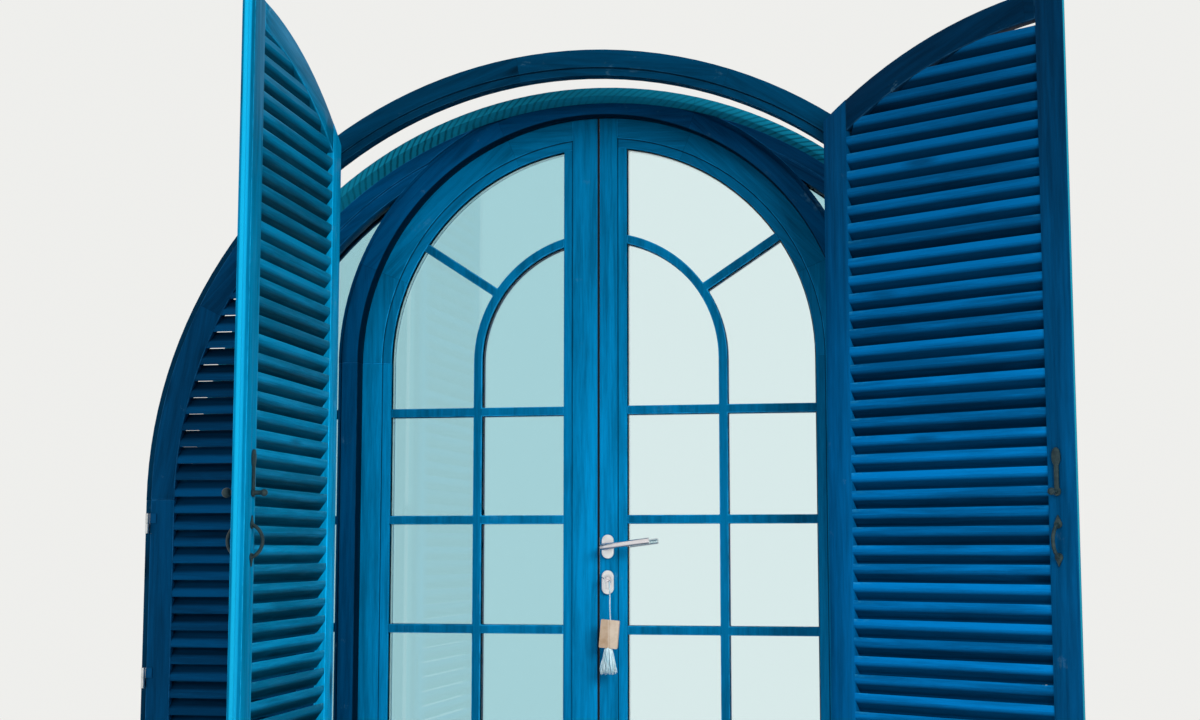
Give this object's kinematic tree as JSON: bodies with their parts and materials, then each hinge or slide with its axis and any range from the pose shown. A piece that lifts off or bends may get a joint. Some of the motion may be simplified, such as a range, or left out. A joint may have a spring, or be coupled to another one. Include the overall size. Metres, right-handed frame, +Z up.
{
  "type": "french window with shutters",
  "caption": "Arched French window: a pair of glazed doors with lever and key between glazed sidelights, and folding louvred shutters in front.",
  "frame": {"origin": "middle of the sill's underside, in the plane of the door leaves' outer face", "axes": "+X to the right seen from outside, +Y into the building, +Z up"},
  "size_m": [2.3154, 1.0962, 2.2978],
  "materials": {
    "frame_wood": "opaque navy stain, satin, with grain and knots",
    "sill_wood": "opaque navy stain, satin",
    "door_wood": "blue stain, satin, with grain",
    "shutter_wood": "deep blue stain, satin, worn pale along the edges",
    "glass": "clear",
    "spacer_aluminium": "satin",
    "hinge_steel": "satin",
    "dark_iron": "antique, matt",
    "satin_steel": "satin",
    "seal_rubber": "matt",
    "string_cord": "twisted",
    "tag_leather": "smooth",
    "tassel_cord": "soft fringe"
  },
  "bodies": {
    "frame": {"sill": "sill_wood", "outer_frame_arch": "frame_wood", "outer_frame_legs": "frame_wood", "main_frame_arch": "frame_wood", "main_frame_jambs": "frame_wood", "door_frame_arch": "frame_wood", "door_posts": "frame_wood", "sidelight_rails": "frame_wood", "sidelight_glass": "glass", "sidelight_bars": "frame_wood", "sidelight_beads": "frame_wood", "shutter_jamb_hinges": "hinge_steel", "door_frame_hinges": "hinge_steel"},
    "shutter_outer_left": {"shutter_outer_left_stiles": "shutter_wood", "shutter_outer_left_rails": "shutter_wood", "shutter_outer_left_slats": "shutter_wood", "shutter_outer_left_hinges": "hinge_steel"},
    "shutter_outer_right": {"shutter_outer_right_stiles": "shutter_wood", "shutter_outer_right_rails": "shutter_wood", "shutter_outer_right_slats": "shutter_wood", "shutter_outer_right_hinges": "hinge_steel"},
    "shutter_inner_left": {"shutter_inner_left_stiles": "shutter_wood", "shutter_inner_left_rails": "shutter_wood", "shutter_inner_left_slats": "shutter_wood", "shutter_inner_left_hinges": "hinge_steel", "shutter_inner_left_pulls": "dark_iron"},
    "shutter_inner_right": {"shutter_inner_right_stiles": "shutter_wood", "shutter_inner_right_rails": "shutter_wood", "shutter_inner_right_slats": "shutter_wood", "shutter_inner_right_hinges": "hinge_steel", "shutter_inner_right_pulls": "dark_iron"},
    "shutter_latch_left": {"shutter_latch_left": "dark_iron"},
    "shutter_latch_right": {"shutter_latch_right": "dark_iron"},
    "door_left": {"door_left_stiles": "door_wood", "door_left_rails": "door_wood", "door_left_bars": "door_wood", "door_left_glass": "glass", "door_left_spacer": "spacer_aluminium", "door_left_hinges": "hinge_steel", "strike_plate": "satin_steel", "meeting_seal": "seal_rubber"},
    "flush_bolt_top": {"flush_bolt_top": "satin_steel"},
    "flush_bolt_bottom": {"flush_bolt_bottom": "satin_steel"},
    "door_right": {"door_right_stiles": "door_wood", "door_right_rails": "door_wood", "door_right_bars": "door_wood", "door_right_glass": "glass", "door_right_spacer": "spacer_aluminium", "door_right_hinges": "hinge_steel", "lock_case": "satin_steel", "lock_roses": "satin_steel", "lock_cylinder": "satin_steel"},
    "lever_handles": {"lever_handles": "satin_steel"},
    "latch_bolt": {"latch_bolt": "satin_steel"},
    "deadbolt": {"deadbolt": "satin_steel"},
    "key": {"key": "satin_steel"},
    "fob": {"key_string": "string_cord", "key_tag": "tag_leather", "key_tassel": "tassel_cord"}
  },
  "joints": [
    {"name": "shutter_outer_left_swing", "type": "hinge", "parent": "frame", "child": "shutter_outer_left", "pos_m": [-1.105, -0.3376, 0.72], "axis": [0, 0, -1], "range_deg": [0, 90]},
    {"name": "shutter_outer_right_swing", "type": "hinge", "parent": "frame", "child": "shutter_outer_right", "pos_m": [1.105, -0.3376, 0.72], "axis": [0, 0, 1], "range_deg": [0, 90]},
    {"name": "shutter_left_fold", "type": "hinge", "parent": "shutter_outer_left", "child": "shutter_inner_left", "pos_m": [-0.636, -0.3376, 1.148], "axis": [0, 0, -1], "range_deg": [-87, 88]},
    {"name": "shutter_right_fold", "type": "hinge", "parent": "shutter_outer_right", "child": "shutter_inner_right", "pos_m": [0.636, -0.3376, 1.148], "axis": [0, 0, 1], "range_deg": [-148, 24]},
    {"name": "shutter_latch_left_turn", "type": "hinge", "parent": "shutter_inner_left", "child": "shutter_latch_left", "pos_m": [-0.60141, -0.9289, 1.164], "axis": [-0.9997, -0.0262, 0], "range_deg": [0, 70]},
    {"name": "shutter_latch_right_turn", "type": "hinge", "parent": "shutter_inner_right", "child": "shutter_latch_right", "pos_m": [1.12792, -0.66751, 1.164], "axis": [0.5299, 0.848, 0], "range_deg": [0, 70]},
    {"name": "door_left_swing", "type": "hinge", "parent": "frame", "child": "door_left", "pos_m": [-0.6615, 0.0645, 0.9], "axis": [0, 0, 1], "range_deg": [0, 100]},
    {"name": "door_right_swing", "type": "hinge", "parent": "frame", "child": "door_right", "pos_m": [0.6615, 0.0645, 0.9], "axis": [0, 0, -1], "range_deg": [0, 100]},
    {"name": "flush_bolt_top_slide", "type": "slide", "parent": "door_left", "child": "flush_bolt_top", "axis": [0, 0, 1], "range_m": [0, 0.016]},
    {"name": "flush_bolt_bottom_slide", "type": "slide", "parent": "door_left", "child": "flush_bolt_bottom", "axis": [0, 0, -1], "range_m": [0, 0.016]},
    {"name": "lever_turn", "type": "hinge", "parent": "door_right", "child": "lever_handles", "pos_m": [0.026, 0.0285, 1.05], "axis": [0, 1, 0], "range_deg": [0, 45], "stiffness_Nm_per_rad": 2, "springref_deg": -20.05},
    {"name": "latch_bolt_slide", "type": "slide", "parent": "door_right", "child": "latch_bolt", "axis": [1, 0, 0], "range_m": [0, 0.00301]},
    {"name": "key_turn", "type": "hinge", "parent": "door_right", "child": "key", "pos_m": [0.026, -0.0105, 0.965], "axis": [0, 1, 0], "range_deg": [0, 360]},
    {"name": "deadbolt_slide", "type": "slide", "parent": "door_right", "child": "deadbolt", "axis": [-1, 0, 0], "range_m": [0, 0.02]},
    {"name": "fob_swing", "type": "hinge", "parent": "key", "child": "fob", "pos_m": [0.03639, -0.038, 0.959], "axis": [0, 1, 0], "range_deg": [-360, 0]}
  ],
  "couplings": [
    {"joint": "latch_bolt_slide", "follows": "lever_turn", "m_per_rad": 0.00382},
    {"joint": "key_turn", "follows": "deadbolt_slide", "rad_per_m": 314.15},
    {"joint": "fob_swing", "follows": "deadbolt_slide", "rad_per_m": -314.15}
  ]
}
